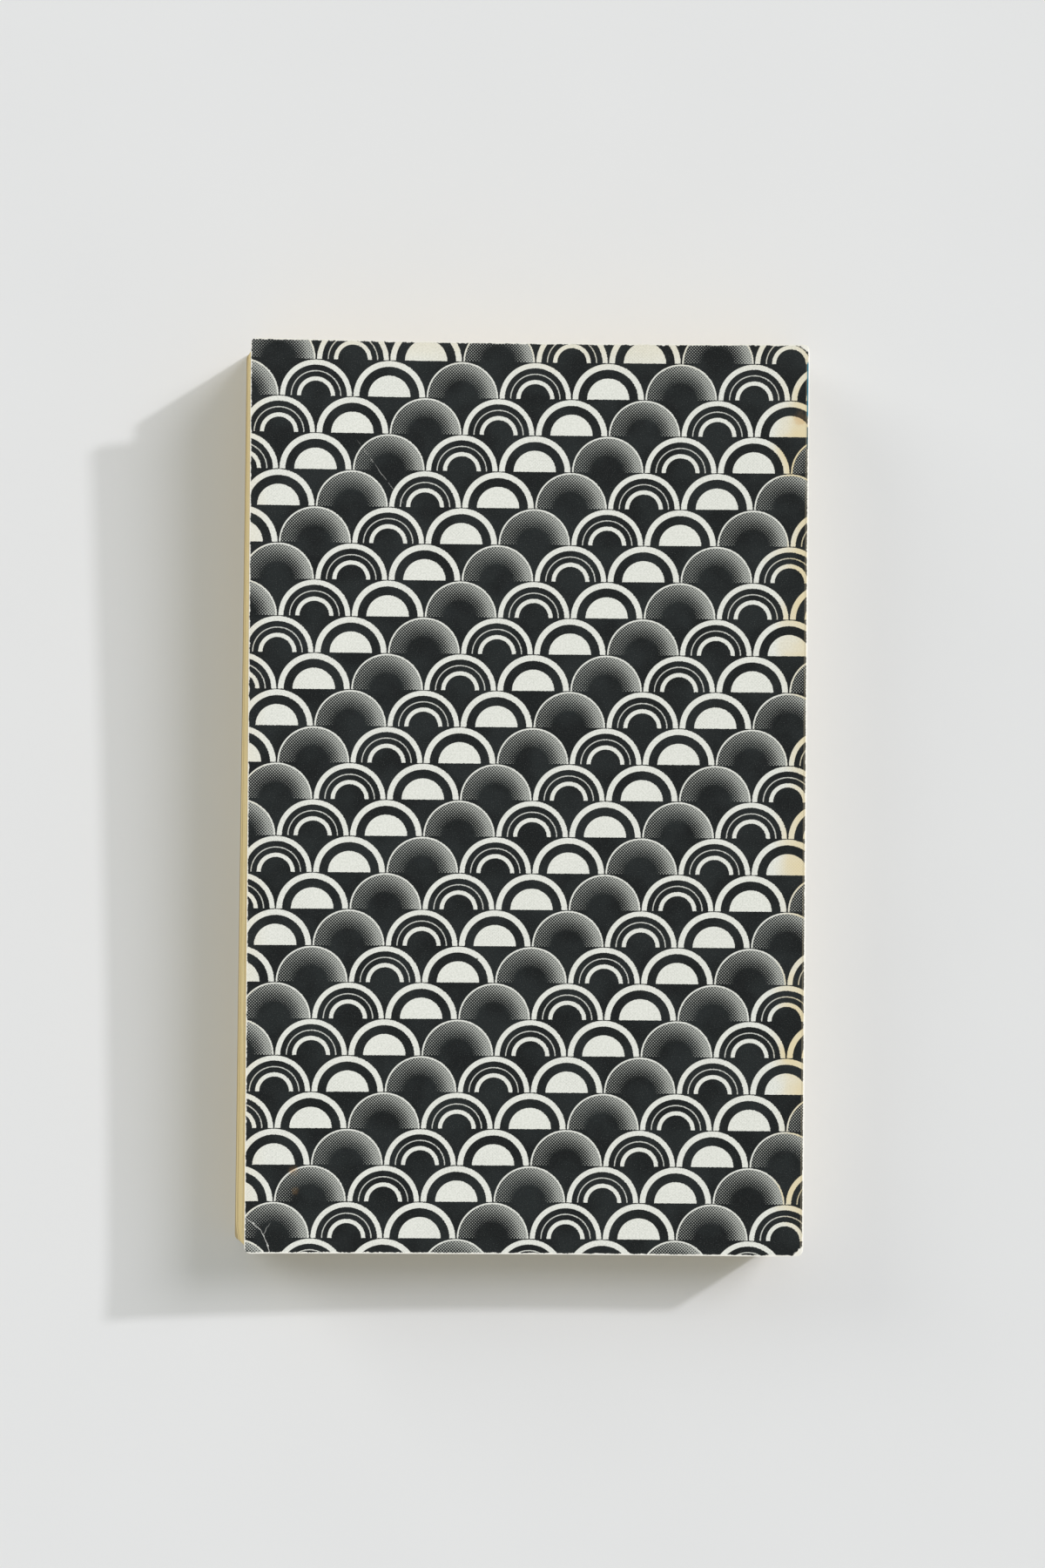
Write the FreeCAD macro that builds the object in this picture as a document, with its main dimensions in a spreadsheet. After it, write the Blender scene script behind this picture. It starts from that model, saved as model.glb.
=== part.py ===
# Perfect-bound paperback of the small rack size, lying on its front cover with the spine on the right.
# X runs from the fore-edge to the spine, Y from the tail to the head, and Z up from the surface it lies on.
# The whole book has leaned over with use, so its upper side sits further to the right than its lower side.
import FreeCAD, Part
import math
import os
import Sketcher

SIZES = {
    "cover_width": 111,        # one cover panel, from the spine's outer face to the fore-edge
    "book_height": 181,        # head to tail
    "card_thickness": 0.3,
    "block_thickness": 14.4,   # all the leaves, pressed together as they lie
    "spine_lean": 3.5,         # how far the top of the book has moved to the right of its underside
    "glue_thickness": 0.4,
    "cover_clearance": 0.05,   # between a cover panel and the leaf that it lies on
    "fold_clearance": 0.1,     # between a cover panel's rounded fold and the spine strip
    "curl_start": 22,          # flat part of the back cover, from the spine's outer face
    "tail_lift": 3.75,         # how far the curled cover's fore-edge stands up at the tail
    "middle_lift": 4.75,       # halfway up the book
    "head_lift": 7,            # and at the head
    "corner_radius": 1.2,      # worn outer corners of the covers
    "trim_allowance": 3,       # spare card beyond the fore-edge before it is trimmed off
    "tail_thumbing": 1.9,      # how far the leaves' tail corners are thumbed back from the fore-edge
    "tail_thumbed_length": 7,  # and over how much of the fore-edge
    "head_thumbing": 1.5,
    "head_thumbed_length": 3.5,
    "leaf_groups": 60,         # groups of leaves that show at the cut edges
    "gap_width": 0.05,         # open gap between two groups, at the cut edges
    "gap_depth": 0.25,
}

doc = FreeCAD.newDocument("Paperback")
sheet = doc.addObject("Spreadsheet::Sheet", "Sizes")
for row, (alias, size) in enumerate(SIZES.items(), start=1):
    sheet.set(f"A{row}", alias)
    sheet.set(f"B{row}", str(size))
    sheet.setAlias(f"B{row}", alias)
doc.recompute()

# Places that several pieces share, as expressions on the sheet
CARD = "Sizes.card_thickness"
HALF_CARD = f"{CARD}/2"
HALF_HEIGHT = "Sizes.book_height/2"
THICKNESS = f"(Sizes.block_thickness + 2*{CARD} + 2*Sizes.cover_clearance)"
BLOCK_BOTTOM = f"({CARD} + Sizes.cover_clearance)"
BLOCK_TOP = f"({THICKNESS} - {BLOCK_BOTTOM})"
TOP_FOLD = "((Sizes.cover_width + Sizes.spine_lean)/2)"
BOTTOM_FOLD = "((Sizes.cover_width - Sizes.spine_lean)/2)"


def spine_face(height):
    """Where the spine's leaning outer face is at this height."""
    return f"({BOTTOM_FOLD} + Sizes.spine_lean*({height})/{THICKNESS})"


def fore_edge(height):
    """Where the cut fore-edge of the pages is at this height: flush with the covers, before they curl."""
    return f"({spine_face(height)} - Sizes.cover_width)"


# Sketch helpers: every point is held by expressions on the sheet
def origin_plane(body, role):
    return next(plane for plane in body.Origin.OriginFeatures if plane.Role == role)


def new_sketch(body, name, role, offset=None):
    """A sketch on one of the body's own origin planes, moved along the plane's normal by an expression."""
    sketch = body.newObject("Sketcher::SketchObject", name)
    sketch.AttachmentSupport = [(origin_plane(body, role), "")]
    sketch.MapMode = "FlatFace"
    if offset:
        sketch.setExpression("AttachmentOffset.Base.z", offset)
    return sketch


def hold(sketch, kind, geometry, value):
    """Add a dimension whose value is an expression."""
    number = float(sketch.evalExpression(value))
    index = sketch.addConstraint(Sketcher.Constraint(kind, *geometry, number))
    sketch.setExpression(f"Constraints[{index}]", value)


def hold_point(sketch, line, end, place):
    """Hold one end of a line, or an arc's centre, at a place given as two expressions."""
    for kind, value in zip(("DistanceX", "DistanceY"), place):
        hold(sketch, kind, (-1, 1, line, end), value)


def vector(sketch, place):
    return FreeCAD.Vector(*(float(sketch.evalExpression(value)) for value in place), 0)


def line_between(sketch, start, end):
    return sketch.addGeometry(Part.LineSegment(vector(sketch, start), vector(sketch, end)), False)


def polygon(sketch, corners):
    """A closed outline of straight lines, each corner held at its place."""
    lines = [line_between(sketch, corner, corners[(i + 1) % len(corners)]) for i, corner in enumerate(corners)]
    for i, corner in enumerate(corners):
        sketch.addConstraint(Sketcher.Constraint("Coincident", lines[i - 1], 2, lines[i], 1))
        hold_point(sketch, lines[i], 1, corner)


def arc(sketch, centre, radius, start, end):
    """An arc drawn anticlockwise between two angles in degrees, all given as expressions."""
    circle = Part.Circle(vector(sketch, centre), FreeCAD.Vector(0, 0, 1), float(sketch.evalExpression(radius)))
    angles = [math.radians(float(sketch.evalExpression(value))) for value in (start, end)]
    return sketch.addGeometry(Part.ArcOfCircle(circle, *angles), False)


def pad_along_height(body, sketch):
    """Pull a section out to the book's height, half to the head and half to the tail."""
    pad = body.newObject("PartDesign::Pad", body.Name + "Pad")
    pad.Profile = sketch
    pad.SideType = "Symmetric"
    pad.setExpression("Length", "Sizes.book_height")
    doc.recompute()


def new_body(node):
    body = doc.addObject("PartDesign::Body", "".join(word.title() for word in node.split("_")))
    body.Label = node
    return body


def leaning_strip(node, left, right, bottom, top):
    """A body whose section leans with the spine, between two faces that run parallel to it."""
    body = new_body(node)
    section = new_sketch(body, body.Name + "Section", "XZ_Plane")
    polygon(section, [(left(bottom), bottom), (right(bottom), bottom), (right(top), top), (left(top), top)])
    pad_along_height(body, section)
    return body


# Pages: leaves cut flush with the covers, leaning with the spine
def glue_face(height):
    return f"({spine_face(height)} - {CARD} - Sizes.glue_thickness)"


def trimmed_sides(sketch, edge, depth, back):
    """The three trimmed sides seen from above, depth inside the cut, with the two thumbed corners as arcs.

    Gives the open path's first and last line, which start and end at the spine side.
    """
    path = []
    for side, end in (("-1", "tail"), ("1", "head")):
        length, worn = f"Sizes.{end}_thumbed_length", f"Sizes.{end}_thumbing"
        full = f"(({length}^2 + {worn}^2)/(2*{worn}))"
        radius = f"({full} - {depth})"
        turn = f"(asin(({length} - {depth})/{radius})/1 deg)"
        centre = (f"({edge} + {full})", f"{side}*({HALF_HEIGHT} - {length})")
        cut = f"{side}*({HALF_HEIGHT} - {depth})"
        back_end = f"({edge} + {full} - sqrt({radius}^2 - ({length} - {depth})^2))"
        if end == "tail":
            across = line_between(sketch, (back, cut), (back_end, cut))
            corner = arc(sketch, centre, radius, "180", f"180 + {turn}")
            hold_point(sketch, across, 1, (back, cut))
        else:
            across = line_between(sketch, (back_end, cut), (back, cut))
            corner = arc(sketch, centre, radius, f"180 - {turn}", "180")
            hold_point(sketch, across, 2, (back, cut))
        sketch.addConstraint(Sketcher.Constraint("Horizontal", across))
        hold_point(sketch, corner, 3, centre)
        hold(sketch, "Radius", (corner,), radius)
        path.append((across, corner))
    (tail_line, tail_corner), (head_line, head_corner) = path
    side_line = line_between(sketch, (f"({edge} + {depth})", f"-{HALF_HEIGHT} + Sizes.tail_thumbed_length"),
                             (f"({edge} + {depth})", f"{HALF_HEIGHT} - Sizes.head_thumbed_length"))
    sketch.addConstraint(Sketcher.Constraint("Coincident", tail_line, 2, tail_corner, 2))
    sketch.addConstraint(Sketcher.Constraint("Tangent", tail_corner, 1, side_line, 1))
    sketch.addConstraint(Sketcher.Constraint("Tangent", side_line, 2, head_corner, 2))
    sketch.addConstraint(Sketcher.Constraint("Coincident", head_corner, 1, head_line, 1))
    return tail_line, head_line


def closed_by(sketch, first, last, corners):
    """Close an open path with straight lines through these corners, from the end of last to the start of first."""
    ends = [line_between(sketch, start, end) for start, end in zip(corners, corners[1:])]
    sketch.addConstraint(Sketcher.Constraint("Coincident", last, 2, ends[0], 1))
    for line, following, corner in zip(ends, ends[1:], corners[1:]):
        sketch.addConstraint(Sketcher.Constraint("Coincident", line, 2, following, 1))
        hold_point(sketch, following, 1, corner)
    sketch.addConstraint(Sketcher.Constraint("Coincident", ends[-1], 2, first, 1))


def page_block():
    """One solid, with the open gaps between groups of leaves cut in along its three trimmed sides."""
    body = new_body("page_block")
    leaning = new_sketch(body, "LeaningLine", "XZ_Plane")
    foot, top = (fore_edge(BLOCK_BOTTOM), BLOCK_BOTTOM), (fore_edge(BLOCK_TOP), BLOCK_TOP)
    lean = line_between(leaning, foot, top)
    hold_point(leaning, lean, 1, foot)
    hold_point(leaning, lean, 2, top)

    leaf = new_sketch(body, "LeafOutline", "XY_Plane", BLOCK_BOTTOM)
    back = glue_face(BLOCK_BOTTOM)
    first, last = trimmed_sides(leaf, foot[0], "0", back)
    closed_by(leaf, first, last, [(back, HALF_HEIGHT), (back, f"-{HALF_HEIGHT}")])
    leaves = body.newObject("PartDesign::Pad", "Leaves")
    leaves.Profile = leaf
    leaves.ReferenceAxis = (leaning, ["Edge1"])
    leaves.AlongSketchNormal = True
    leaves.setExpression("Length", "Sizes.block_thickness")
    doc.recompute()

    pitch = "(Sizes.block_thickness/Sizes.leaf_groups)"
    level = f"({BLOCK_BOTTOM} + {pitch} + Sizes.gap_width/2)"
    outline = new_sketch(body, "LeafGapOutline", "XY_Plane", level)
    back, front = spine_face(level), f"({fore_edge(level)} - Sizes.gap_depth)"
    outer, inner = f"({HALF_HEIGHT} + Sizes.gap_depth)", f"({HALF_HEIGHT} - Sizes.gap_depth)"
    first, last = trimmed_sides(outline, fore_edge(level), "Sizes.gap_depth", back)
    closed_by(outline, first, last, [(back, inner), (back, outer), (front, outer), (front, f"-{outer}"),
                                     (back, f"-{outer}"), (back, f"-{inner}")])
    gap = body.newObject("PartDesign::Pocket", "LeafGap")
    gap.Profile = outline
    gap.setExpression("Length", "Sizes.gap_width")
    doc.recompute()

    gaps = body.newObject("PartDesign::LinearPattern", "LeafGaps")
    gaps.Originals = [gap]
    gaps.Direction = (leaning, ["Edge1"])
    gaps.Mode = "Spacing"
    gaps.setExpression("Offset", f"{pitch}*sqrt(1 + (Sizes.spine_lean/{THICKNESS})^2)")
    gaps.setExpression("Occurrences", "Sizes.leaf_groups - 1")
    body.Tip = gaps
    return body


# Binding: hot-melt glue between the leaves' back edges and the card, then the spine strip itself
def binding_glue():
    def card_face(height):
        return f"({spine_face(height)} - {CARD})"
    return leaning_strip("binding_glue", glue_face, card_face, BLOCK_BOTTOM, BLOCK_TOP)


def spine():
    """The strip of card behind the pages, ending just short of the two folds."""
    def inner_face(height):
        return f"({spine_face(height)} - {CARD})"
    bottom = f"({CARD} + Sizes.fold_clearance)"
    return leaning_strip("spine", inner_face, spine_face, bottom, f"({THICKNESS} - {bottom})")


# Covers: each a panel of card whose spine edge is the rounded outside of a fold
def fold_and_faces(sketch, axis, reach):
    """The fold's half circle, and the card's lower and upper faces running left from it as far as reach."""
    fold = arc(sketch, axis, HALF_CARD, "-90", "90")
    lower_end, upper_end = (axis[0], f"({axis[1]} - {HALF_CARD})"), (axis[0], f"({axis[1]} + {HALF_CARD})")
    lower = line_between(sketch, (reach, lower_end[1]), lower_end)
    upper = line_between(sketch, upper_end, (reach, upper_end[1]))
    hold_point(sketch, fold, 3, axis)
    hold(sketch, "Radius", (fold,), HALF_CARD)
    sketch.addConstraint(Sketcher.Constraint("Horizontal", lower))
    sketch.addConstraint(Sketcher.Constraint("Horizontal", upper))
    sketch.addConstraint(Sketcher.Constraint("Tangent", lower, 2, fold, 1))
    sketch.addConstraint(Sketcher.Constraint("Tangent", fold, 2, upper, 1))
    return lower, upper


def trim_fore_edge(body, tail_edge, head_edge):
    """Cut a panel's spare card away along its fore-edge, leaving the two worn, rounded corners."""
    outline = new_sketch(body, body.Name + "Trim", "XY_Plane")
    places = []
    for side, edge in (("-1", tail_edge), ("1", head_edge)):
        places.append([(f"({edge} + Sizes.corner_radius)", f"{side}*{HALF_HEIGHT}"),
                       (f"({edge} + Sizes.corner_radius)", f"{side}*({HALF_HEIGHT} + Sizes.trim_allowance)"),
                       (f"({edge} - 2*Sizes.trim_allowance)", f"{side}*({HALF_HEIGHT} + Sizes.trim_allowance)")])
    tail, head = places
    path = [tail[0], tail[1], tail[2], head[2], head[1], head[0]]
    lines = [line_between(outline, start, end) for start, end in zip(path, path[1:])]
    for line, start in zip(lines, path):
        hold_point(outline, line, 1, start)
    hold_point(outline, lines[-1], 2, path[-1])
    for line, following in zip(lines, lines[1:]):
        outline.addConstraint(Sketcher.Constraint("Coincident", line, 2, following, 1))

    low, high = f"(-{HALF_HEIGHT} + Sizes.corner_radius)", f"({HALF_HEIGHT} - Sizes.corner_radius)"
    cut = line_between(outline, (head_edge, high), (tail_edge, low))
    head_corner = arc(outline, (head[0][0], high), "Sizes.corner_radius", "90", "180")
    tail_corner = arc(outline, (tail[0][0], low), "Sizes.corner_radius", "180", "270")
    outline.addConstraint(Sketcher.Constraint("Perpendicular", lines[-1], 2, head_corner, 1))
    outline.addConstraint(Sketcher.Constraint("Tangent", head_corner, 2, cut, 1))
    outline.addConstraint(Sketcher.Constraint("Tangent", cut, 2, tail_corner, 1))
    outline.addConstraint(Sketcher.Constraint("Perpendicular", tail_corner, 2, lines[0], 1))
    for corner in (head_corner, tail_corner):
        hold(outline, "Radius", (corner,), "Sizes.corner_radius")
    trim = body.newObject("PartDesign::Pocket", body.Name + "Trimmed")
    trim.Profile = outline
    trim.Type = "ThroughAll"
    trim.SideType = "Symmetric"
    doc.recompute()


def front_cover():
    """The flat panel that the book lies on."""
    body = new_body("front_cover")
    section = new_sketch(body, "FrontCoverSection", "XZ_Plane")
    edge = f"({fore_edge('0')} - Sizes.trim_allowance)"
    lower, upper = fold_and_faces(section, (f"({BOTTOM_FOLD} - {HALF_CARD})", HALF_CARD), edge)
    end = line_between(section, (edge, CARD), (edge, "0"))
    section.addConstraint(Sketcher.Constraint("Coincident", upper, 2, end, 1))
    section.addConstraint(Sketcher.Constraint("Coincident", end, 2, lower, 1))
    section.addConstraint(Sketcher.Constraint("Vertical", end))
    hold(section, "DistanceX", (-1, 1, end, 1), edge)
    pad_along_height(body, section)
    trim_fore_edge(body, fore_edge("0"), fore_edge("0"))
    return body


def curl_place(lift, size="0", spare="0"):
    """A point on the curl's arc at the fore-edge, size away from the card's middle and spare card further on."""
    length = "(Sizes.cover_width - Sizes.curl_start)"
    radius = f"({length}^2/(2*{lift}))"
    turn = f"(({length} + {spare})/{radius}*180/pi)"
    centre = (f"({TOP_FOLD} - Sizes.curl_start)", f"({THICKNESS} - {HALF_CARD} + {radius})")
    reach = f"({radius} + {size})"
    return radius, turn, centre, (f"({centre[0]} - {reach}*sin({turn}))", f"({centre[1]} - {reach}*cos({turn}))")


def curled_section(body, name, lift, offset):
    """The back cover's section at one height: flat from the fold, then an arc that lifts the fore-edge."""
    sketch = new_sketch(body, name, "XZ_Plane", offset)
    radius, turn, centre, lower_tip = curl_place(lift, HALF_CARD, "Sizes.trim_allowance")
    upper_tip = curl_place(lift, f"-{HALF_CARD}", "Sizes.trim_allowance")[3]
    fold = (f"({TOP_FOLD} - {HALF_CARD})", f"({THICKNESS} - {HALF_CARD})")

    lower, upper = fold_and_faces(sketch, fold, centre[0])
    lower_arc = arc(sketch, centre, f"({radius} + {HALF_CARD})", f"270 - {turn}", "270")
    upper_arc = arc(sketch, centre, f"({radius} - {HALF_CARD})", f"270 - {turn}", "270")
    end = line_between(sketch, upper_tip, lower_tip)
    sketch.addConstraint(Sketcher.Constraint("Tangent", lower_arc, 2, lower, 1))
    sketch.addConstraint(Sketcher.Constraint("Tangent", upper_arc, 2, upper, 2))
    sketch.addConstraint(Sketcher.Constraint("Coincident", upper_arc, 1, end, 1))
    sketch.addConstraint(Sketcher.Constraint("Coincident", lower_arc, 1, end, 2))
    sketch.addConstraint(Sketcher.Constraint("PointOnObject", lower_arc, 3, end))
    hold(sketch, "DistanceX", (-1, 1, lower_arc, 3), centre[0])
    hold(sketch, "Radius", (lower_arc,), f"({radius} + {HALF_CARD})")
    hold(sketch, "DistanceX", (-1, 1, lower_arc, 1), lower_tip[0])
    return sketch


def back_cover():
    """The panel on top, which curls up towards its fore-edge, more at the head than at the tail."""
    body = new_body("back_cover")
    tail = curled_section(body, "TailCurl", "Sizes.tail_lift", HALF_HEIGHT)
    middle = curled_section(body, "MiddleCurl", "Sizes.middle_lift", "0")
    head = curled_section(body, "HeadCurl", "Sizes.head_lift", f"-{HALF_HEIGHT}")
    panel = body.newObject("PartDesign::AdditiveLoft", "CurledPanel")
    panel.Profile = tail
    panel.Sections = [middle, head]
    panel.Ruled = True
    doc.recompute()
    trim_fore_edge(body, curl_place("Sizes.tail_lift")[3][0], curl_place("Sizes.head_lift")[3][0])
    return body


pieces = [page_block(), binding_glue(), spine(), front_cover(), back_cover()]
doc.recompute()

failed = [thing.Name for thing in doc.Objects if {"Invalid", "Error"} & set(thing.State)]
loose = [thing.Name for thing in doc.Objects if thing.isDerivedFrom("Sketcher::SketchObject") and thing.solve()]
bad = [piece.Label for piece in pieces
       if piece.Shape.isNull() or not piece.Shape.isValid() or len(piece.Shape.Solids) != 1]
if failed or loose or bad:
    raise RuntimeError(f"failed features {failed}, unsolved sketches {loose}, bad shapes {bad}")

os.makedirs("parts", exist_ok=True)
for piece in pieces:
    piece.Shape.exportStep(f"parts/{piece.Label}.step")
    box = piece.Shape.BoundBox
    print(f"{piece.Label}: {piece.Shape.Volume:.1f} mm3, "
          f"x {box.XMin:.2f} to {box.XMax:.2f}, y {box.YMin:.2f} to {box.YMax:.2f}, z {box.ZMin:.2f} to {box.ZMax:.2f}")
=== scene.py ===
import math
import random

import bpy
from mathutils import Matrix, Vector, noise


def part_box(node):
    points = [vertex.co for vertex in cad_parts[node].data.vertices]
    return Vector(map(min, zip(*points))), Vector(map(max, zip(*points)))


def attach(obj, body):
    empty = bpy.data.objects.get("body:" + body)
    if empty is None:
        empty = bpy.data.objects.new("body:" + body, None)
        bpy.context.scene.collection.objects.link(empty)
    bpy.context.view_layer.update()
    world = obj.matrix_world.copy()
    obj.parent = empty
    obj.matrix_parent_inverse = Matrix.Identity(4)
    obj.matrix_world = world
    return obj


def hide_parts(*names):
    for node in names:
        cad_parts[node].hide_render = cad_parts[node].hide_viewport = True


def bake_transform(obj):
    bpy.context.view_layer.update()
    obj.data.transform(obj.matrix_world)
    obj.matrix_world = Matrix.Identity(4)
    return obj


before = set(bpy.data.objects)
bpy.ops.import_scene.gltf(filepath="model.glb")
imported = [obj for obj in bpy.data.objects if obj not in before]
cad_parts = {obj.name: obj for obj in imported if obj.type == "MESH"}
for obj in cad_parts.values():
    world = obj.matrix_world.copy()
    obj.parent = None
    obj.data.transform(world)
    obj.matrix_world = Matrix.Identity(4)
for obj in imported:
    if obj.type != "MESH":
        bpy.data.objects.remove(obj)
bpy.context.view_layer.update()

# Text block: about 120 leaves of cheap wood-pulp paper, glued along the spine and trimmed on the other three
# sides. With use the block has leaned over, its fore-edge corners have gone soft, and the cut edges have
# tanned, more at some leaves than at others, so they show as fine tan, brown and cream lines; some fine
# dark lines are painted shade in the gaps between leaves.
mm = 0.001
block_low, block_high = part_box("page_block")
front_low, front_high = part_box("front_cover")
back_low, back_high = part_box("back_cover")
half_height = front_high.y
cover_width = front_high.x - front_low.x
card = front_high.z - front_low.z
thickness = back_low.z + card
lean = back_high.x - front_high.x
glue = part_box("binding_glue")[1].x - block_high.x

tail_lift = max(v.co.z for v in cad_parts["back_cover"].data.vertices
                if v.co.y < -0.98 * half_height) - thickness
head_lift = back_high.z - thickness
curl_start = 22 * mm       # from the spine's edge, where the back cover begins to curl up

leaves = 120
tail_lean = 1.12 * lean    # the block has twisted: it leans more at the tail than at the head
head_lean = 0.84 * lean
leaf_lift = 1.6 * mm       # how far the top leaves have risen with the cover at the head
head_knock = 1.4 * mm      # how round the spine's two corners have been knocked
tail_knock = 1.9 * mm
knock_reach = 5 * mm
random.seed(7)


def up_page(y):
    """0 at the tail and 1 at the head."""
    return 0.5 + y / half_height / 2


def spine_face(z, y):
    lean_here = tail_lean + (head_lean - tail_lean) * up_page(y)
    return back_high.x - lean_here * (1 - z / thickness)


def fore_edge(z, y):
    return spine_face(z, y) - cover_width


def glue_face(z, y):
    return spine_face(z, y) - card - glue


def curl(from_spine, lift):
    """Height that a curled sheet has gained at a distance from the spine's edge."""
    return lift * max(0, (from_spine - curl_start) / (cover_width - curl_start)) ** 2


def corner_inset(distance, radius):
    """How far a corner of this radius cuts in at a distance from its side."""
    if distance >= radius:
        return 0
    return radius - math.sqrt(radius ** 2 - (radius - max(distance, 0)) ** 2)


def worn_y(y, from_spine):
    """Pulls a point near the head or tail in, where the spine's corners are knocked round."""
    inset = corner_inset(from_spine, head_knock if y > 0 else tail_knock)
    nearness = max(0, 1 - (half_height - abs(y)) / knock_reach)
    return y - math.copysign(inset * nearness, y)


def thumbed(y):
    """How far the leaves' corners have been thumbed back from the fore-edge: more at the tail."""
    from_end, reach, depth = half_height - abs(y), 4.8 * mm, 0.6 * mm
    if y > 0:
        reach, depth = 2.5 * mm, 0.4 * mm
    return depth * max(0, 1 - from_end / reach) ** 2


def spaced(count, end_reach, length):
    """Fractions from 0 to 1 that crowd together within end_reach of both ends of a length."""
    inner = [end_reach / length + i / count * (1 - 2 * end_reach / length) for i in range(count + 1)]
    near = [end_reach / length * (i / 8) ** 1.5 for i in range(8)]
    return near + inner + [1 - part for part in reversed(near)]


def mesh_object(name, vertices, faces, slots, materials, flat_map=None):
    """An object with one material number for each face and, if given, one flat place for each face corner."""
    mesh = bpy.data.meshes.new(name)
    mesh.from_pydata(vertices, [], faces)
    for material in materials:
        mesh.materials.append(material)
    mesh.polygons.foreach_set("material_index", slots)
    mesh.polygons.foreach_set("use_smooth", [True] * len(faces))
    mesh.set_sharp_from_angle(angle=math.radians(50))
    if flat_map:
        layer = mesh.uv_layers.new(name="Card")
        layer.data.foreach_set("uv", [value for face in flat_map for place in face for value in place])
    piece = bpy.data.objects.new(name, mesh)
    bpy.context.scene.collection.objects.link(piece)
    return piece


def stack(rings):
    """Vertices and faces of closed rings laid one on another, with a face across the first and the last."""
    count = len(rings[0])
    faces = [list(reversed(range(count)))]
    for low in range(0, count * (len(rings) - 1), count):
        for i in range(count):
            following = (i + 1) % count
            faces.append((low + i, low + following, low + count + following, low + count + i))
    faces.append(list(range(count * (len(rings) - 1), count * len(rings))))
    return [point for ring in rings for point in ring], faces


class Wire:
    """A shader node's output. Arithmetic on it adds the Math node that does the same."""

    def __init__(self, tree, socket=None):
        self.tree = tree
        self.socket = socket

    def node(self, kind, settings=None, inputs=None, output=0):
        """Any node, by its type: its settings first, then the values or links of its sockets."""
        made = self.tree.nodes.new(kind)
        for name, value in (settings or {}).items():
            if name == "stops":
                for _ in value[2:]:
                    made.color_ramp.elements.new(0.5)
                for stop, (place, colour) in zip(made.color_ramp.elements, value):
                    stop.position = place
                    stop.color = colour
            else:
                setattr(made, name, value)
        for name, value in (inputs or {}).items():
            if isinstance(value, Wire):
                self.tree.links.new(value.socket, made.inputs[name])
            else:
                made.inputs[name].default_value = value
        return Wire(self.tree, made.outputs[output] if made.outputs else None)

    def math(self, operation, *values):
        return self.node("ShaderNodeMath", {"operation": operation}, dict(enumerate((self,) + values)))

    def __add__(self, other):
        return self.math("ADD", other)

    __radd__ = __add__

    def __mul__(self, other):
        return self.math("MULTIPLY", other)

    __rmul__ = __mul__

    def __sub__(self, other):
        return self.math("SUBTRACT", other)

    def __rsub__(self, other):
        return (self * -1) + other

    def __truediv__(self, other):
        return self.math("DIVIDE", other)

    def __mod__(self, other):
        return self.math("FLOORED_MODULO", other)

    def __abs__(self):
        return self.math("ABSOLUTE")

    def floor(self):
        return self.math("FLOOR")

    def least(self, other):
        return self.math("MINIMUM", other)

    def most(self, other):
        return self.math("MAXIMUM", other)

    def rise(self, low, high):
        """0 up to low, 1 from high, and smooth between them. With low above high it falls instead."""
        return self.node("ShaderNodeMapRange", {"interpolation_type": "SMOOTHSTEP"},
                         {"Value": self, "From Min": low, "From Max": high})

    def part(self, axis):
        return self.node("ShaderNodeSeparateXYZ", None, {0: self}, axis)

    def vector(self, x, y, z=0.0):
        return self.node("ShaderNodeCombineXYZ", None, {0: x, 1: y, 2: z})

    def noise(self, place, scale, detail=2.0, roughness=0.5):
        return self.node("ShaderNodeTexNoise", {"normalize": True},
                         {"Vector": place, "Scale": scale, "Detail": detail, "Roughness": roughness})

    def mix(self, factor, first, second):
        """A colour that goes from first to second."""
        return self.node("ShaderNodeMix", {"data_type": "RGBA"}, {0: factor, 6: first, 7: second}, 2)


def colour(red, green, blue):
    """A linear colour from the red, green and blue of a screen, 0 to 255."""
    return tuple((value / 255 / 12.92) if value <= 10 else ((value / 255 + 0.055) / 1.055) ** 2.4
                 for value in (red, green, blue)) + (1.0,)


def paper_material(name, base, roughness, height, depth, shine=0.25):
    """A finish from three functions, which make its colour, its roughness and the height of its relief."""
    material = bpy.data.materials.new(name)
    material.use_nodes = True
    tree = material.node_tree
    tree.nodes.clear()
    start = Wire(tree)
    base, roughness, height = base(start), roughness(start), height(start)
    bump = start.node("ShaderNodeBump", None, {"Height": height, "Distance": depth, "Strength": 1.0})
    shader = start.node("ShaderNodeBsdfPrincipled", None, {
        "Base Color": base, "Roughness": roughness, "Normal": bump, "Specular IOR Level": shine})
    start.node("ShaderNodeOutputMaterial", None, {"Surface": shader})
    return material


def object_place(start):
    """The place on the object in millimetres."""
    at = start.node("ShaderNodeTexCoord", None, None, 3)
    return [at.part(axis) * 1000 for axis in range(3)]


leaf_pitch = (block_high.z - block_low.z) / leaves


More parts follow.
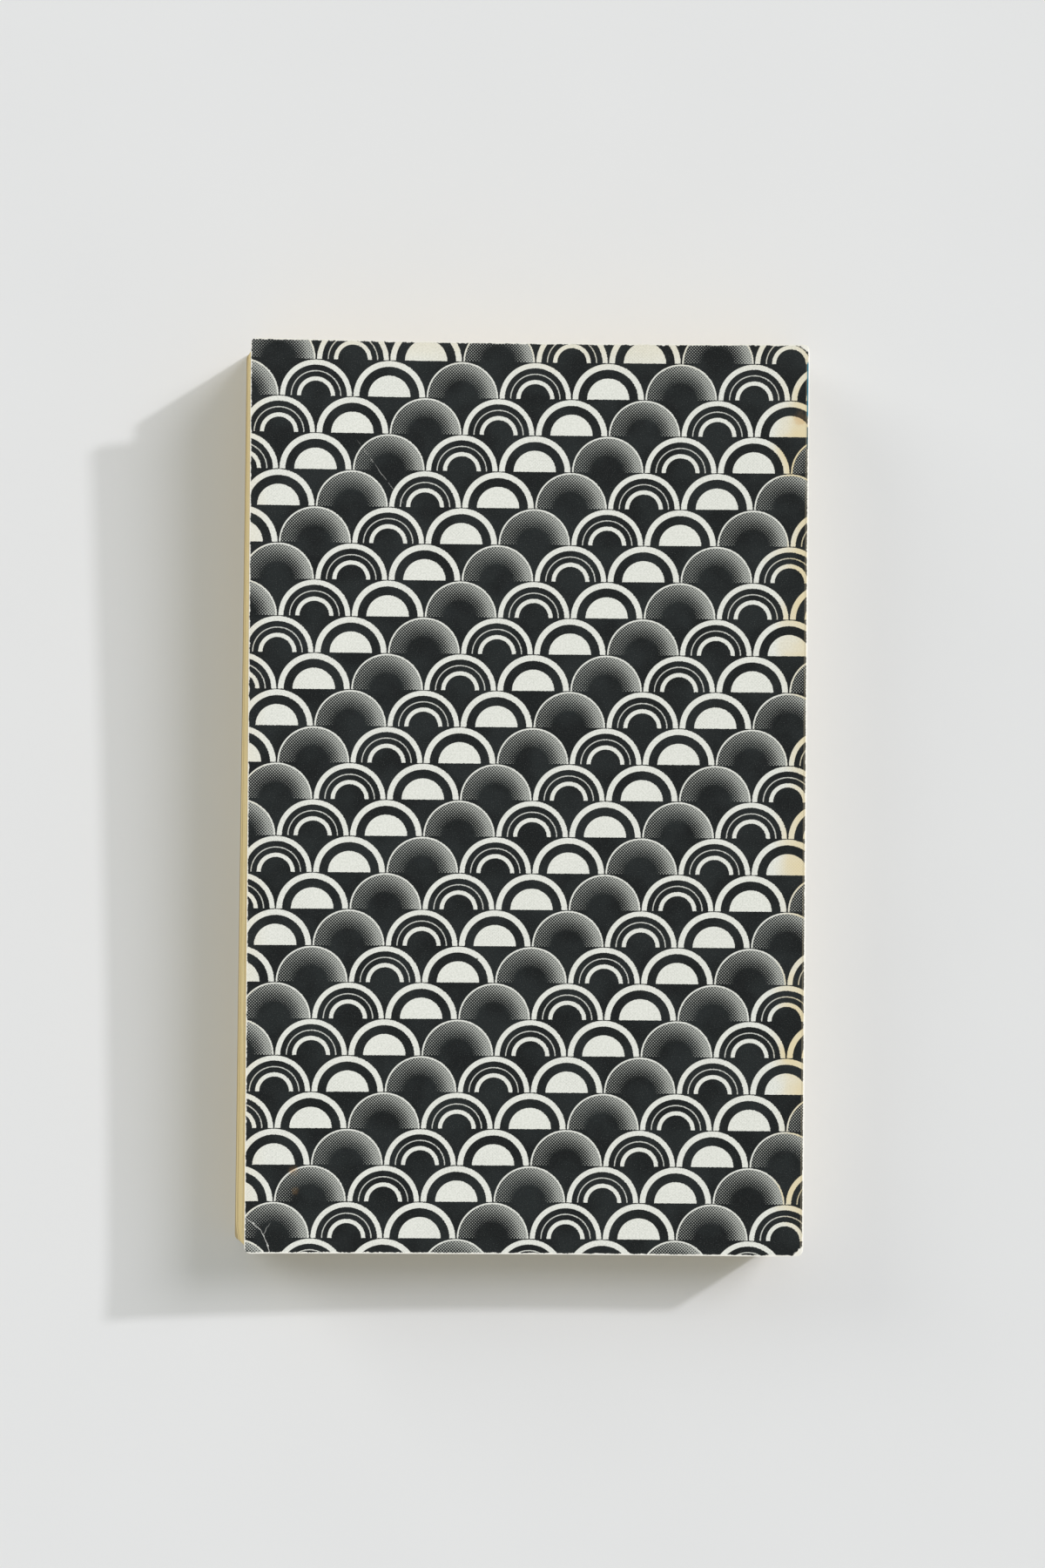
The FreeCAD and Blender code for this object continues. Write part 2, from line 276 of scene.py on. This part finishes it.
def leaf_tone(start):
    """Tan of the cut edges: a tone for each leaf, two browner bundles of leaves, painted shade in the gaps
    between leaves, and a little dirt.
    """
    x, y, z = object_place(start)
    leaf = start.noise(start.vector(x * 0.004, y * 0.004, z * 3.2), 1.0, 6.0, 0.9)
    drift = start.noise(start.vector(x * 0.02, y * 0.02, 2.0), 1.0, 1.0) - 0.5
    smear = start.noise(start.vector(x * 0.25, y * 0.25, z * 1.4), 1.0, 3.0, 0.6)
    tan = start.mix(leaf.rise(0.34, 0.66), colour(234, 210, 152), colour(249, 236, 194))
    low_bundle = abs(z - 2.5 + drift * 0.4).rise(1.0, 0.3)
    high_bundle = abs(z - 10.3 + drift * 0.5).rise(1.4, 0.5) * 0.6
    # painted shade: fine dark lines where the gaps between leaves hold shade
    leaf_gap_shade = start.noise(start.vector(x * 0.006, y * 0.006, z * 7.5 + 40), 1.0, 2.0, 0.8)
    tan = start.mix(low_bundle.most(high_bundle) * (leaf - 0.15), tan, colour(182, 150, 96))
    tan = start.mix(leaf_gap_shade.rise(0.44, 0.36) * 0.45, tan, colour(158, 130, 84))
    tan = start.mix(smear.rise(0.55, 0.76) * 0.2, tan, colour(150, 122, 80))
    dusty = (y - half_height * 1000).rise(-0.4, -0.28) * (smear * 0.7 + 0.1)
    return start.mix(dusty, tan, colour(190, 182, 164))


def leaf_lines(start):
    x, y, z = object_place(start)
    return start.noise(start.vector(x * 0.006, y * 0.006, z * 8), 1.0, 4.0, 0.8)


def page_face(start):
    """A blank outer leaf: cream, tanned towards its three open edges, with a few fox spots."""
    x, y, z = object_place(start)
    to_edge = (half_height * 1000 - abs(y)).least(x - fore_edge(thickness, 0) * 1000)
    cloud = start.noise(start.vector(x * 0.08, y * 0.08, z), 1.0, 4.0, 0.6)
    fibre = start.noise(start.vector(x, y, z), 2.2, 3.0, 0.7)
    spots = start.noise(start.vector(x * 0.3, y * 0.3, z), 1.0, 1.0, 0.3)
    face = start.mix((to_edge + cloud * 9).rise(17, 3), colour(226, 210, 170), colour(203, 174, 120))
    face = start.mix(fibre.rise(0.35, 0.75) * 0.25, face, colour(182, 156, 108))
    return start.mix(spots.rise(0.74, 0.82) * 0.5, face, colour(170, 120, 66))


edge_finish = paper_material("tanned_leaf_edges", leaf_tone, lambda start: 0.85, leaf_lines, 0.00008, 0.15)
face_finish = paper_material("aged_leaf", page_face, lambda start: 0.8,
                             lambda start: start.noise(start.vector(*object_place(start)), 1.6, 4.0, 0.6),
                             0.00003, 0.2)


leaf_wave = 0.05 * mm      # unevenness of the cut edges
inset_fade = 12            # the fore-edge's insets fade over a twelfth of the leaf
along = spaced(52, 8 * mm, 2 * half_height)
across = spaced(18, 6 * mm, cover_width)
rim = [(0, up) for up in along] + [(over, 1) for over in across[1:]]
rim += [(1, up) for up in reversed(along[:-1])] + [(over, 0) for over in reversed(across[1:-1])]


def leaf_point(over, up, z, fore_inset, end_inset):
    """A point of a leaf at the share over of its width from the fore-edge and the share up of its height."""
    y = (2 * up - 1) * half_height
    left, right = fore_edge(z, y), glue_face(z, y)
    wave = leaf_wave * noise.noise(Vector((y * 40, z * 900, 1.7)))
    x = left + over * (right - left) + (fore_inset + wave + thumbed(y)) * max(0, 1 - over * inset_fade)
    y -= math.copysign(end_inset + 0.5 * wave, y) if up in (0, 1) else 0
    from_spine = spine_face(z, y) - x
    rise = curl(from_spine, leaf_lift * up_page(y) ** 2) * (z / thickness) ** 3
    return x, worn_y(y, from_spine), z + rise


rings = []
for leaf in range(leaves):
    bottom = block_low.z + leaf * leaf_pitch
    bundle = noise.noise(Vector((leaf * 0.13, 4.2, 0)))
    fore_inset = (0.12 + 0.12 * bundle + random.uniform(0, 0.08)) * mm
    end_inset = (0.09 + 0.06 * bundle + random.uniform(0, 0.05)) * mm
    groove = bottom, fore_inset + 0.07 * mm, end_inset + 0.05 * mm
    middle = bottom + 0.5 * leaf_pitch, fore_inset, end_inset
    rings.append([leaf_point(over, up, *groove) for over, up in rim])
    rings.append([leaf_point(over, up, *middle) for over, up in rim])
top_leaf = block_high.z, 0.2 * mm, 0.12 * mm
rings.append([leaf_point(over, up, *top_leaf) for over, up in rim])
vertices, faces = stack(rings)
faces.pop()
slots = [1] + [0] * (len(faces) - 1)
number = {place: len(vertices) - len(rim) + i for i, place in enumerate(rim)}
for over in across[1:-1]:
    for up in along[1:-1]:
        number[over, up] = len(vertices)
        vertices.append(leaf_point(over, up, *top_leaf))
for over, next_over in zip(across, across[1:]):
    for up, next_up in zip(along, along[1:]):
        corners = (over, up), (next_over, up), (next_over, next_up), (over, next_up)
        faces.append([number[corner] for corner in corners])
        slots.append(1)
pages = mesh_object("pages", vertices, faces, slots, [edge_finish, face_finish])
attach(pages, "book_block")
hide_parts("page_block")

# Binding glue: a strip of brittle, yellowed hot-melt between the backs of the leaves and the card. Only its
# ends show, as a thin line at the head and the tail.


def glue_tone(start):
    x, y, z = object_place(start)
    cloud = start.noise(start.vector(x, y, z), 0.9, 3.0)
    return start.mix(cloud, colour(206, 186, 132), colour(226, 214, 172))


def glue_ring(z):
    ring = []
    steps = (-1, -0.985, -0.97, -0.5, 0, 0.5, 0.97, 0.985, 1)
    for over, part in [(1, part) for part in steps] + [(0, part) for part in reversed(steps)]:
        y = part * (half_height - 0.15 * mm)
        x = glue_face(z, y) + over * glue
        ring.append((x, worn_y(y, spine_face(z, y) - x), z))
    return ring


glue_finish = paper_material("hot_melt", glue_tone, lambda start: 0.45,
                             lambda start: start.noise(start.vector(*object_place(start)), 1.2), 0.00005)
levels = [block_low.z + part / 12 * (block_high.z - block_low.z) for part in range(13)]
vertices, faces = stack([glue_ring(z) for z in levels])
glue_line = mesh_object("glue_line", vertices, faces, [0] * len(faces), [glue_finish])
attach(glue_line, "book_block")
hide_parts("binding_glue")

# Cover: one sheet of card, printed on its outside and folded twice round the block. Here it is two pieces
# that meet low on the spine, so that each cover can turn at its own fold. Both folds and all the edges are
# rubbed through to the white of the card, and the white along the folds is also a painted highlight; the
# corners are knocked round, and the back cover has curled up.
fold_radius = 0.55 * mm
outer_corner = 1.2 * mm
seam = 1.7 * mm            # height on the spine where the two pieces meet
spine_length = math.hypot(tail_lean, thickness)
wave_room = 0.22 * mm      # taken off the curl, so that the card's slow waves stay inside the book's box
crease_u, crease_v = -4, -1   # centre of the crease round the tail corner, in millimetres on the flat sheet
crease_radius = 9.0
map_size = 0.26            # side of the flat map, in metres: the outside lies left in it, the inside right
map_margin = 2 * mm
inside_shift = 130 * mm


def lean_angle(y):
    return math.atan2(thickness, spine_face(thickness, y) - spine_face(0, y))


def around_fold(u, corner, up, turn, y):
    """Place and outward normal past the start of a fold, from the distance u along the sheet."""
    tangent = fold_radius * math.tan(turn / 2)
    steep = lean_angle(y)
    angle = (u - (cover_width - tangent)) / fold_radius
    if angle < turn:
        normal = Vector((math.sin(angle), 0, up * math.cos(angle)))
        centre = corner + Vector((-tangent, 0, -up * fold_radius))
        return centre + fold_radius * normal, normal
    down_spine = u - (cover_width - tangent) - fold_radius * turn + tangent
    normal = Vector((math.sin(steep), 0, -math.cos(steep)))
    return corner - up * down_spine * Vector((math.cos(steep), 0, math.sin(steep))), normal


def back_sheet(u, y):
    """Place and normal on the back of the sheet: curled, then flat, round the top fold, down the spine."""
    top_fold = Vector((back_high.x, 0, thickness))
    turn = math.pi - lean_angle(y)
    if u > cover_width - fold_radius * math.tan(turn / 2):
        return around_fold(u, top_fold, 1, turn, y)
    from_fold = cover_width - u
    if from_fold <= curl_start:
        return top_fold - Vector((from_fold, 0, 0)), Vector((0, 0, 1))
    lift = tail_lift + (head_lift - tail_lift) * up_page(y) ** 1.7 - wave_room
    radius = (cover_width - curl_start) ** 2 / (2 * lift)
    angle = (from_fold - curl_start) / radius
    centre = top_fold + Vector((-curl_start, 0, radius))
    normal = Vector((math.sin(angle), 0, math.cos(angle)))
    return centre - radius * normal, normal


def front_sheet(u, y):
    """The same for the front: flat on the table, round the bottom fold and a little way up the spine."""
    bottom_fold = Vector((spine_face(0, y), 0, 0))
    turn = lean_angle(y)
    if u > cover_width - fold_radius * math.tan(turn / 2):
        return around_fold(u, bottom_fold, -1, turn, y)
    return bottom_fold - Vector((cover_width - u, 0, 0)), Vector((0, 0, -1))


def sheet_end(turn, spine_part):
    """Distance along the sheet to a place on the spine."""
    return cover_width + fold_radius * (turn - 2 * math.tan(turn / 2)) + spine_part


def card_piece(name, place, end, dents, materials):
    """A sheet of card with a printed outside, a bare inside and a cut edge, laid out flat in its map."""
    panel = [cover_width * part for part in spaced(70, 6 * mm, cover_width)[:-8]]
    panel = [u for u in panel if u < cover_width - 1.5 * mm]
    fold = [cover_width + (i / 5 - 1.2) * mm for i in range(14)]
    rest = [fold[-1] + (end - fold[-1]) * i / 12 for i in range(1, 13)] if end > fold[-1] + mm else [end]
    columns = panel + [u for u in fold if u < end - 0.05 * mm] + rest
    rows = [(2 * part - 1) * half_height for part in spaced(104, 6 * mm, 2 * half_height)]

    outside, inside, flat = [], [], []
    for y in rows:
        corner = corner_inset(half_height - abs(y), outer_corner)
        for u in columns:
            rounded = u + corner * max(0, 1 - u / (10 * mm))
            point, normal = place(rounded, y)
            point = point + normal * dents(rounded, y)
            end_y = worn_y(y, max(0, cover_width - u))
            outside.append((point.x, end_y, point.z))
            point = point - normal * card
            inside.append((point.x, end_y, point.z))
            flat.append((rounded, end_y + half_height))

    per_row, total = len(columns), len(flat)
    vertices, faces, slots, flat_map = outside + inside, [], [], []

    def add(face, slot, shift, grow=(0, 0)):
        """A face, with its inner points moved on the flat map by the width of the card's edge."""
        faces.append(face)
        slots.append(slot)
        flat_map.append([((flat[i % total][0] + shift + grow[0] * (i >= total) + map_margin) / map_size,
                          (flat[i % total][1] + grow[1] * (i >= total) + map_margin) / map_size)
                         for i in face])

    for row in range(len(rows) - 1):
        for column in range(per_row - 1):
            a = row * per_row + column
            b, c, d = a + 1, a + per_row + 1, a + per_row
            add((a, b, c, d), 0, 0)
            add((d + total, c + total, b + total, a + total), 1, inside_shift)
    for column in range(per_row - 1):
        a, d = column, (len(rows) - 1) * per_row + column
        add((a + total, a + 1 + total, a + 1, a), 2, 0, (0, -card))
        add((d, d + 1, d + 1 + total, d + total), 2, 0, (0, card))
    for row in range(len(rows) - 1):
        a, d = row * per_row, (row + 1) * per_row
        add((a, d, d + total, a + total), 2, 0, (-card, 0))
        b, c = a + per_row - 1, d + per_row - 1
        add((b + total, c + total, c, b), 2, 0, (card, 0))
    if place is front_sheet:
        faces[:] = [tuple(reversed(face)) for face in faces]
        flat_map[:] = [list(reversed(face)) for face in flat_map]
    return mesh_object(name, vertices, faces, slots, materials, flat_map)


def on_card(start):
    """Distances in millimetres on the flat sheet: u from the fore-edge, v from the tail."""
    at = start.node("ShaderNodeUVMap", {"uv_map": "Card"})
    return [at.part(axis) * (map_size * 1000) - map_margin * 1000 for axis in range(2)]


width, height = cover_width * 1000, 2 * half_height * 1000


def edge_wear_and_fold_highlight(start, u, v):
    """How far the print is rubbed away to white card: a ragged line at every edge, and over the fold, where
    the white is also a painted highlight on the fold's rim.
    """
    ragged = start.noise(start.vector(u, v), 0.9, 4.0, 0.7) - 0.5
    teeth = start.noise(start.vector(u, v), 2.4, 2.0, 0.6) - 0.5
    to_edge = (u + 0.08).least(height - v).least(v) + ragged * 0.75 + teeth * 0.3
    rubbed = to_edge.rise(0.34, 0.16)
    # painted highlight: the white band over the fold stands partly for light caught by the fold's rim, partly
    # for real rubbing
    fold = (abs(u - width) + ragged * 0.4 + teeth * 0.3).rise(0.48, 0.36)
    corner_head = ((width - u).most(0) + (height - v) + ragged * 1.9).rise(2.3, 1.9)
    corner_tail = ((width - u).most(0) + v + ragged * 2.1).rise(2.6, 2.2)
    return rubbed.most(fold).most(corner_head).most(corner_tail)


def bare_card(start, u, v):
    """Off-white of the coated card: fine grain, clouds, yellowing along the spine and beige at the head."""
    grain = start.noise(start.vector(u, v), 2.7, 3.0, 0.8)
    cloud = start.noise(start.vector(u, v), 0.06, 3.0, 0.6)
    tone = start.mix(grain.rise(0.36, 0.62), colour(215, 216, 206), colour(234, 234, 225))
    by_spine = (u + cloud * 16 - 8).rise(width - 8, width - 0.5) * (0.35 + cloud * 0.9)
    by_head = (v + cloud * 10 - 5).rise(height - 7, height) * 0.3
    by_fore_edge = (u + cloud * 6 - 3).rise(5, 0) * 0.2
    return start.mix(by_spine.most(by_head).most(by_fore_edge), tone, colour(224, 208, 166))


fan = 7.25                 # radius of a fan and height of a row, in millimetres
dot_pitch = 0.42           # of the press's halftone screen, in millimetres


def fan_print(start, u, v):
    """Bare share of the print, and the tone of its graded fans: staggered fans of three kinds.

    The kinds follow one another on the slant: graded from ink to grey, ringed, and with a bare middle.
    """
    shake = start.noise(start.vector(u, v), 3.6, 2.0, 0.6) - 0.5
    across = (u + 1.6 + shake * 0.3) / fan
    up = (v - 3.1 + shake * 0.26) / fan
    row = up.floor()
    column = ((across + row % 2) / 2).floor()
    side = (across + row % 2) % 2 - 1
    rise = up - row
    reach = (side * side + rise * rise).math("SQRT")
    kind = ((column * 2 - row % 2 - row) / 2) % 3
    ringed = abs(kind - 1).rise(0.6, 0.4)
    bare = abs(kind - 2).rise(0.6, 0.4)
    rim = reach.rise(0.985, 0.97)
    share = rim * reach.rise(0.93, 0.945)
    share = share.most(ringed * rim * reach.rise(0.835, 0.85))
    share = share.most(ringed * reach.rise(0.40, 0.415) * reach.rise(0.525, 0.51))
    share = share.most(ringed * abs(reach - 0.675).rise(0.02, 0.008) * 0.75)
    share = share.most(bare * rim * reach.rise(0.815, 0.83))
    share = share.most(bare * reach.rise(0.585, 0.57))
    graded = rim * reach.rise(0.3, 1.0) * (side * 0.3 + 0.55) * (1 - ringed.most(bare))
    return share, graded


def screen(start, u, v):
    """Dots of the halftone screen, at 45 degrees: 1 at the middle of a dot and 0 between dots."""
    step = dot_pitch / math.tau * math.sqrt(2)
    return (((u + v) / step).math("COSINE") + ((u - v) / step).math("COSINE")) * 0.25 + 0.5


def ink_tone(start, u, v, graded):
    """Charcoal ink: fine specks where it missed the card, and screen dots where the design turns grey."""
    speck = start.noise(start.vector(u, v), 5.5, 2.0, 0.7)
    patch = start.noise(start.vector(u + 31, v), 0.12, 2.0, 0.5)
    ink = start.mix(patch.rise(0.35, 0.65), colour(18, 21, 21), colour(31, 35, 35))
    ink = start.mix(speck.rise(0.56, 0.76) * 0.6, ink, colour(104, 108, 105))
    opened = (graded + speck * 0.5 - 0.25 - screen(start, u, v)).rise(-0.14, 0.14) * graded.rise(0.03, 0.12)
    return start.mix(opened * 0.85, ink, colour(186, 188, 180))


def scratches(start, u, v):
    """The crease round the tail corner, where the card has cracked white, and a few fine scratches."""
    waver = start.noise(start.vector(u, v), 0.8, 3.0, 0.6) - 0.5
    corner_u, corner_v = u - crease_u, v - crease_v
    corner = (corner_u * corner_u + corner_v * corner_v).math("SQRT")
    crack = abs(corner - crease_radius + waver * 1.1).rise(0.12, 0.04) * waver.rise(0.16, 0.04) * 0.8
    branch = abs(u * 0.86 - v * 0.5 - 1.35 + waver).rise(0.1, 0.03)
    branch = branch * corner.rise(8.9, 9.1) * corner.rise(12, 10)
    fine = abs(u * 0.8 + v * 0.6 - 113.6 + waver * 0.8).rise(0.09, 0.03)
    fine = fine * abs(u - 26).rise(5.5, 4) * abs(v - 155).rise(7, 5) * waver.rise(-0.1, 0.05)
    return crack.most(branch * 0.4).most(fine * 0.4)


def spot(start, u, v, at_u, at_v, size):
    reach = ((u - at_u) * (u - at_u) + (v - at_v) * (v - at_v)).math("SQRT")
    edge = start.noise(start.vector(u, v), 1.6, 2.0)
    return (reach + (edge - 0.5) * size).rise(size, size * 0.35)


def spine_tone(start, u, v, inked):
    """The spine's outside: yellowed card, painted shade along two reading creases, and a rest of teal ink by
    the fold.
    """
    waver = start.noise(start.vector(u * 0.2, v * 0.2), 1.0, 3.0, 0.7) - 0.5
    rub = start.noise(start.vector(u * 1.4, v * 0.35), 0.8, 5.0, 0.8) - 0.5
    tone = start.mix(rub.rise(-0.3, 0.3), colour(222, 216, 198), colour(208, 200, 176))
    teal = start.mix(rub.rise(-0.15, 0.2), colour(16, 92, 112), colour(52, 128, 144))
    block = (height - v + rub * 0.8).rise(2.2, 2.6) * (height - v + rub * 0.8).rise(20.4, 20.0)
    down = u - width
    tone = start.mix(block * (down + rub * 3 + waver * 4).rise(3.0, 2.6) * inked, tone, teal)
    # painted shade: two darker lines along the reading creases
    crease = abs(down - 5.2 + waver * 0.8).least(abs(down - 9.6 + waver * 0.9))
    return start.mix(crease.rise(0.22, 0.06) * waver.rise(-0.2, 0.0) * 0.9, tone, colour(178, 162, 126))


def printed_back(start):
    u, v = on_card(start)
    card_tone = bare_card(start, u, v)
    share, graded = fan_print(start, u, v)
    haze = start.noise(start.vector(v, u), 0.15, 2.0).rise(0.35, 0.7) * 0.3
    card_tone = start.mix(screen(start, u, v).rise(0.72, 0.96) * haze, card_tone, colour(120, 122, 116))
    panel = start.mix(share, ink_tone(start, u, v, graded), card_tone)
    rust = spot(start, u, v, 9.6, 16.3, 1.3).most(spot(start, u, v, 9.9, 12.4, 1.0))
    rust = rust.most(spot(start, u, v, width - 1.9, height - 14.6, 1.9) * 0.8)
    panel = start.mix(rust * (share * 0.5 + 0.08), panel, colour(200, 158, 104))
    # painted shade: a darker line just inside the fold, along the scored hinge, where the crease holds shade
    hinge_score_shade = abs(u - width + 0.68).rise(0.22, 0.1) * (height - v).rise(2, 4)
    panel = start.mix(hinge_score_shade * 0.3, panel, colour(150, 140, 116))
    panel = start.mix((u - width + 0.3).rise(0, 0.1), panel, spine_tone(start, u, v, 0.9))
    fibre = start.noise(start.vector(u, v), 2.0, 3.0)
    fibre = start.mix(fibre, colour(226, 222, 208), colour(246, 244, 236))
    # white of rubbed card at the edges; along the fold it is also a painted highlight
    panel = start.mix(edge_wear_and_fold_highlight(start, u, v), panel, fibre)
    panel = start.mix(scratches(start, u, v) * 0.85, panel, colour(232, 231, 224))
    specks = spot(start, u, v, 45.7, 58.5, 0.35).most(spot(start, u, v, 37.0, 27.9, 0.3))
    panel = start.mix(specks.most(spot(start, u, v, 3.1, 5.2, 0.3)) * 0.85, panel, colour(40, 40, 36))
    peek = abs(u - width + 0.46).rise(0.19, 0.12)
    down_head = height - v + (start.noise(start.vector(u, v), 0.8, 3.0) - 0.5) * 1.5
    bright = peek * down_head.rise(3.2, 3.6) * down_head.rise(14.6, 14.0)
    panel = start.mix(bright * 0.9, panel, colour(34, 124, 146))
    faded = peek * down_head.rise(16, 16.4) * down_head.rise(20.8, 20.2)
    return start.mix(faded * 0.8, panel, colour(20, 78, 92))


def printed_roughness(start):
    u, v = on_card(start)
    rub = start.noise(start.vector(u, v), 0.25, 4.0, 0.6)
    return 0.5 + rub * 0.14 + edge_wear_and_fold_highlight(start, u, v) * 0.25


def card_relief(start):
    """Fibres of the rubbed edges, the paper's tooth, and the hollows of the crease and of small knocks."""
    u, v = on_card(start)
    tooth = start.noise(start.vector(u, v), 2.6, 4.0, 0.7)
    knocks = start.noise(start.vector(u, v), 0.35, 2.0, 0.5).rise(0.68, 0.8)
    worn = edge_wear_and_fold_highlight(start, u, v)
    return tooth * (0.25 + worn * 0.6) - knocks * 0.5 - scratches(start, u, v) * 0.9


def plain_front(start):
    """The front's outside, which nothing shows: bare card, with the same worn edges and painted highlight
    along the fold.
    """
    u, v = on_card(start)
    panel = start.mix((u - width + 0.3).rise(0, 0.1), bare_card(start, u, v), spine_tone(start, u, v, 0))
    # white of rubbed card at the edges, and painted highlight along the fold
    return start.mix(edge_wear_and_fold_highlight(start, u, v), panel, colour(240, 238, 230))


def card_inside(start):
    """Unprinted side of the card: aged to cream, browner towards the edges that the air reaches."""
    u, v = on_card(start)
    u = u - inside_shift * 1000
    cloud = start.noise(start.vector(u, v), 0.09, 4.0, 0.6)
    fibre = start.noise(start.vector(u, v), 2.0, 4.0, 0.7)
    tone = start.mix(fibre.rise(0.3, 0.75), colour(224, 218, 196), colour(212, 203, 176))
    to_edge = u.least(v).least(height - v) + cloud * 10
    return start.mix(to_edge.rise(15, 3) * 0.7, tone, colour(200, 178, 132))


def card_cut(start):
    u, v = on_card(start)
    fibre = start.noise(start.vector(u, v), 1.4, 4.0, 0.7)
    return start.mix(fibre, colour(214, 204, 178), colour(240, 236, 224))


printed_finish = paper_material("printed_back", printed_back, printed_roughness, card_relief, 0.00005, 0.12)
plain_finish = paper_material("plain_front", plain_front, printed_roughness, card_relief, 0.00005, 0.12)
inside_finish = paper_material("bare_inside", card_inside, lambda start: 0.8, card_relief, 0.00003, 0.15)
cut_finish = paper_material("cut_card_edge", card_cut, lambda start: 0.85,
                            lambda start: start.noise(start.vector(*on_card(start)), 2.4), 0.00004, 0.15)


def back_dents(u, y):
    """Slow waves of the curled card, and the bent-up tail corner beyond its crease."""
    wave = 0.09 * mm * (1 + noise.noise(Vector((u * 38, y * 26, 0.3))))
    knock = 0.05 * mm * noise.noise(Vector((u * 160, y * 160, 5.1)))
    beyond = crease_radius * mm - math.hypot(u - crease_u * mm, y + half_height - crease_v * mm)
    open_part = min(1, max(0, (cover_width - u) / (8 * mm)))
    return (wave + knock) * open_part + max(0, beyond) * 0.07


def front_dents(u, y):
    return 0


turn = math.pi - lean_angle(-half_height)
back_end = sheet_end(turn, spine_length - seam)
back = card_piece("back_cover_card", back_sheet, back_end, back_dents,
                  [printed_finish, inside_finish, cut_finish])
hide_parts("back_cover", "spine")
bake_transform(back)

front_end = sheet_end(math.pi - turn, seam)
front = card_piece("front_cover_card", front_sheet, front_end, front_dents,
                   [plain_finish, inside_finish, cut_finish])
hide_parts("front_cover")
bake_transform(front)

# Table: a plain matt white surface, large enough to fill every view
table_size = 12.0


def table_tone(start):
    x, y, z = object_place(start)
    cloud = start.noise(start.vector(x, y), 0.02, 2.0)
    return start.mix(cloud, colour(226, 226, 225), colour(229, 229, 228))


table_finish = paper_material("table_top", table_tone, lambda start: 0.9,
                              lambda start: start.noise(start.vector(*object_place(start)), 0.5),
                              0.00001, 0.1)
side = table_size / 2
table = mesh_object("table", [(-side, -side, 0), (side, -side, 0), (side, side, 0), (-side, side, 0)],
                    [(0, 1, 2, 3)], [0], [table_finish])
table.location.z = -0.01 * mm

# Light: a hard low key from the upper right, which throws the long shadow to the lower left, a broad one
# above it, which deepens that shadow near the book, a low fill from the upper left, and an even fill from
# all round. Each has its share of the light on the table.


def sun(name, side, up, elevation, width_angle, share, tint):
    lamp = bpy.data.lights.new(name, "SUN")
    lamp.energy = share * math.pi / math.sin(math.radians(elevation))
    lamp.angle = math.radians(width_angle)
    lamp.color = tint
    holder = bpy.data.objects.new(name, lamp)
    level = Vector((side, up, 0)).normalized() * math.cos(math.radians(elevation))
    direction = level + Vector((0, 0, math.sin(math.radians(elevation))))
    holder.rotation_euler = direction.to_track_quat("Z", "Y").to_euler()
    bpy.context.scene.collection.objects.link(holder)


sun("hard_key", 0.875, 0.485, 28.6, 3, 0.205, (1.0, 0.995, 1.05))
sun("broad_key", 0.838, 0.547, 41.4, 24, 0.25, (1.0, 0.995, 1.05))
sun("low_fill", -0.8, 0.6, 18, 36, 0.10, (1.0, 1.0, 0.96))
even_share = 0.445

world = bpy.data.worlds.new("even_fill")
world.use_nodes = True
world.node_tree.nodes.clear()
fill = Wire(world.node_tree)
seen = fill.node("ShaderNodeLightPath").math("MAXIMUM", fill.node("ShaderNodeLightPath", None, None, 3))
shown = fill.node("ShaderNodeBackground", None, {"Color": (0.78, 0.78, 0.775, 1), "Strength": 1.0})
lit = fill.node("ShaderNodeBackground", None, {"Color": (0.98, 1.01, 0.98, 1), "Strength": even_share})
sky = fill.node("ShaderNodeMixShader", None, {0: seen, 1: lit, 2: shown})
fill.node("ShaderNodeOutputWorld", None, {"Surface": sky})
bpy.context.scene.world = world

# Camera: above the book and almost straight down, from a little to its right
camera_height = 620 * mm   # above the back cover
pixels_per_mm = 5.775      # of the photograph, at the back cover
photo_rows = 1800
tilt = (0.36, 1.33, 0.43)  # degrees about X, Y and Z
lens = bpy.data.cameras.new("camera")
lens.sensor_width = 36
lens.lens = lens.sensor_width * pixels_per_mm * camera_height / mm / photo_rows
camera = bpy.data.objects.new("camera", lens)
camera.location = (15.1 * mm, -0.95 * mm, thickness + camera_height)   # beside the book's middle
camera.rotation_euler = [math.radians(angle) for angle in tilt]
bpy.context.scene.collection.objects.link(camera)
bpy.context.scene.camera = camera
bpy.context.scene.view_settings.view_transform = "Standard"
